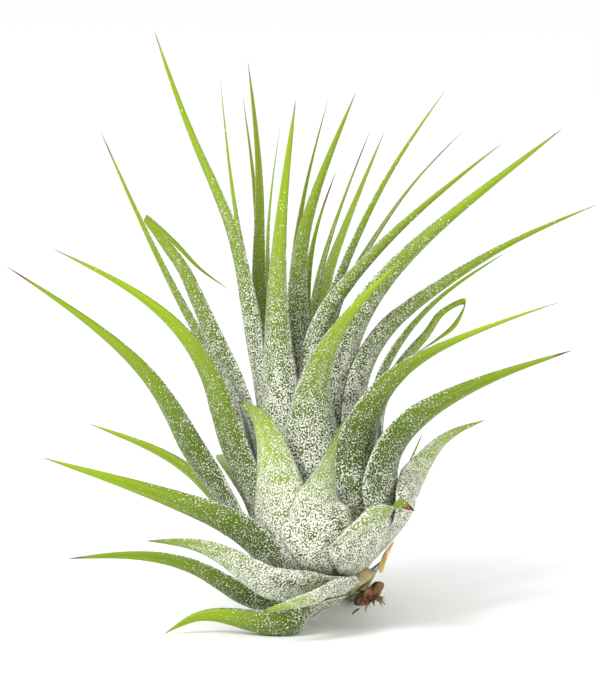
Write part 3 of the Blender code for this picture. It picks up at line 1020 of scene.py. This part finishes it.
class AddDryParts(bpy.types.Operator):
    """Makes the stem, its withered end, the wiry root and the dry bract"""

    bl_idname = "air_plant.dry_parts"
    bl_label = "Stem and dry parts"

    def execute(self, context):
        wish = context.scene.air_plant_dry
        dark, straw, amber = wish.dark[:], wish.straw[:], wish.amber[:]
        shades = {
            "stem": ("Stem", STEM_GREEN, straw),
            "dry_stem_end": ("Withered end", dark, WITHERED_LIGHT),
            "wiry_root": ("Wiry root", dark, ROOT_LIGHT),
            "dry_bract": ("Papery bract", amber, BRACT_LIGHT),
        }
        finishes = {node: dry_material(*shades[node], *STREAKS[node]) for node in OTHER_NODES}
        for node in OTHER_NODES:
            mesh = weathered_mesh(node, wish.wear if node == "dry_stem_end" else wish.wear * SLIGHT_WEAR)
            fit(linked("skin_" + node, mesh, finishes[node]), node)
        ragged = fibres_mesh("dry_stem_end", wish.fibres, wish.fibre_radius)
        piece = linked("dry_stem_end_fibres", ragged, finishes["dry_stem_end"])
        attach(piece, "root")
        return {"FINISHED"}


def weathered_mesh(node, wear):
    """A rounded copy of a solid, sunk here and there by up to a depth."""
    mesh = rounded_mesh(node, FINE_ROUNDING_LEVELS if node == "dry_stem_end" else ROUNDING_LEVELS)
    places = np.array([v.co[:] for v in mesh.vertices])
    normals = np.array([v.normal[:] for v in mesh.vertices])
    turn = np.arctan2(places[:, 1] - places[:, 1].mean(), places[:, 0] - places[:, 0].mean())
    height = places[:, 2] / WEAR_RISE
    depth = WEAR_LEVEL
    for hollows, shift, start in WEAR_WAVES:
        depth = depth + WEAR_SWING * np.sin(hollows * turn + shift * height + start)
    places -= normals * (wear * depth)[:, None]
    mesh.vertices.foreach_set("co", places.astype(np.float32).reshape(-1))
    mesh.shade_smooth()
    mesh.update()
    return mesh


def fibres_mesh(node, count, radius):
    """Short bent fibres that stand from a solid's surface and taper to a point, kept in its box."""
    low, high = (np.array(corner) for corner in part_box(node))
    middle = (low + high) / 2
    reach = (high - low) / 2
    chance = np.random.default_rng(FIBRE_SEED)
    points = []
    faces = []
    for _ in range(count):
        way = chance.normal(size=3)
        way[2] = -abs(way[2]) * FIBRE_FALL
        way /= np.linalg.norm(way)
        start = middle + reach * way * FIBRE_START
        end = middle + reach * way * chance.uniform(*FIBRE_REACH)
        bend = chance.normal(size=3) * FIBRE_BEND
        first = len(points)
        side = np.cross(way, FIBRE_SIDEWAYS_OF)
        side /= np.linalg.norm(side)
        other = np.cross(way, side)
        for k in range(FIBRE_STEPS):
            share = k / FIBRE_STEPS
            centre = start + (end - start) * share + bend * share * share
            for turn in np.arange(FIBRE_SIDES) * 2 * math.pi / FIBRE_SIDES:
                out = math.cos(turn) * side + math.sin(turn) * other
                points.append(centre + out * radius * (1 - share))
        points.append(end + bend)
        for k in range(FIBRE_STEPS - 1):
            a = first + k * FIBRE_SIDES
            for i in range(FIBRE_SIDES):
                j = (i + 1) % FIBRE_SIDES
                faces.append((a + i, a + j, a + FIBRE_SIDES + j, a + FIBRE_SIDES + i))
        a = first + (FIBRE_STEPS - 1) * FIBRE_SIDES
        faces += [(a + i, a + (i + 1) % FIBRE_SIDES, len(points) - 1) for i in range(FIBRE_SIDES)]
        faces.append(tuple(range(first, first + FIBRE_SIDES))[::-1])
    mesh = bpy.data.meshes.new(node + "_fibres")
    mesh.from_pydata(np.clip(points, low, high).tolist(), [], faces)
    return finished(mesh)


class AddStage(bpy.types.Operator):
    """Lays the floor and sets the lights and the camera"""

    bl_idname = "air_plant.stage"
    bl_label = "Stage"

    def execute(self, context):
        wish = context.scene.air_plant_stage
        floor_mesh = bpy.data.meshes.new("floor")
        ways = ((-1, -1), (1, -1), (1, 1), (-1, 1))
        corners = [(x * FLOOR_HALF, y * FLOOR_HALF, 0) for x, y in ways]
        floor_mesh.from_pydata(corners, [], [(0, 1, 2, 3)])
        paint = bpy.data.materials.new("Pale floor")
        paint.use_nodes = True
        paint.node_tree.nodes["Principled BSDF"].inputs["Base Color"].default_value = wish.floor[:]
        paint.node_tree.nodes["Principled BSDF"].inputs["Roughness"].default_value = FLOOR_ROUGHNESS
        linked("floor", floor_mesh, paint)
        world = bpy.data.worlds.new("Surround")
        world.use_nodes = True
        sky = world.node_tree.nodes["Background"]
        sky.inputs["Color"].default_value = (1, 1, 1, 1)
        sky.inputs["Strength"].default_value = wish.surround
        context.scene.world = world
        add_light("key", wish.key, KEY_SIZE, KEY_PLACE)
        add_light("fill", wish.fill, FILL_SIZE, FILL_PLACE)
        context.scene.view_settings.view_transform = "Standard"
        add_camera(context, wish.elevation)
        return {"FINISHED"}


def add_light(name, power, size, place):
    """A square soft light that faces the middle of the plant."""
    light = bpy.data.lights.new(name, "AREA")
    light.energy = power
    light.size = size
    lamp = bpy.data.objects.new(name, light)
    lamp.location = place
    bpy.context.scene.collection.objects.link(lamp)
    away = np.array(place) - np.array(PLANT_HEART)
    lamp.rotation_mode = "QUATERNION"
    lamp.rotation_quaternion = Vector(away).to_track_quat("Z", "Y")


def add_camera(context, elevation):
    """A long lens in front of the plant and a little above it, with the plant in its frame."""
    lens = bpy.data.cameras.new("camera")
    lens.lens = LENS_MM
    lens.sensor_width = SENSOR_MM
    lens.clip_start = CLIP_START
    lens.clip_end = CLIP_END
    camera = bpy.data.objects.new("camera", lens)
    context.scene.collection.objects.link(camera)
    up = np.array((0.0, math.sin(elevation), math.cos(elevation)))
    back = np.array((0.0, -math.cos(elevation), math.sin(elevation)))
    lowest = min(
        float(np.dot(up, v.co)) for node in frame["nodes"].values() for v in node.data.vertices
    )
    target = up * (lowest + VIEW_CENTRE_RISE) + np.array((VIEW_CENTRE_X, 0, 0))
    distance = LENS_MM * VIEW_HEIGHT / SENSOR_MM
    camera.location = target + back * distance
    camera.rotation_euler = (math.pi / 2 - elevation, 0, 0)
    context.scene.camera = camera


class AirPlantPanel(bpy.types.Panel):
    """Lists the plant's pieces and their settings"""

    bl_idname = "VIEW3D_PT_air_plant"
    bl_label = "Air Plant"
    bl_space_type = "VIEW_3D"
    bl_region_type = "UI"
    bl_category = "Air Plant"

    def draw(self, context):
        for operator, key in (
            (AddLeaves, "air_plant_leaves"),
            (AddScurf, "air_plant_scurf"),
            (AddDryParts, "air_plant_dry"),
            (AddStage, "air_plant_stage"),
        ):
            box = self.layout.box()
            box.operator(operator.bl_idname)
            settings = getattr(context.scene, key)
            for name in SETTINGS[key].__annotations__:
                box.prop(settings, name)


CLASSES = (*SETTINGS.values(), AddLeaves, AddScurf, AddDryParts, AddStage, AirPlantPanel)


def register():
    """Registers the classes and hangs their settings on the scene."""
    for kind in CLASSES:
        bpy.utils.register_class(kind)
    for key, kind in SETTINGS.items():
        setattr(bpy.types.Scene, key, bpy.props.PointerProperty(type=kind))


def unregister():
    """Takes the settings and the classes away again."""
    for key in SETTINGS:
        delattr(bpy.types.Scene, key)
    for kind in reversed(CLASSES):
        bpy.utils.unregister_class(kind)


def main():
    """Builds the plant and its stage."""
    register()
    bpy.ops.air_plant.leaves()
    bpy.ops.air_plant.scurf()
    bpy.ops.air_plant.dry_parts()
    bpy.ops.air_plant.stage()


if __name__ == "__main__":
    main()
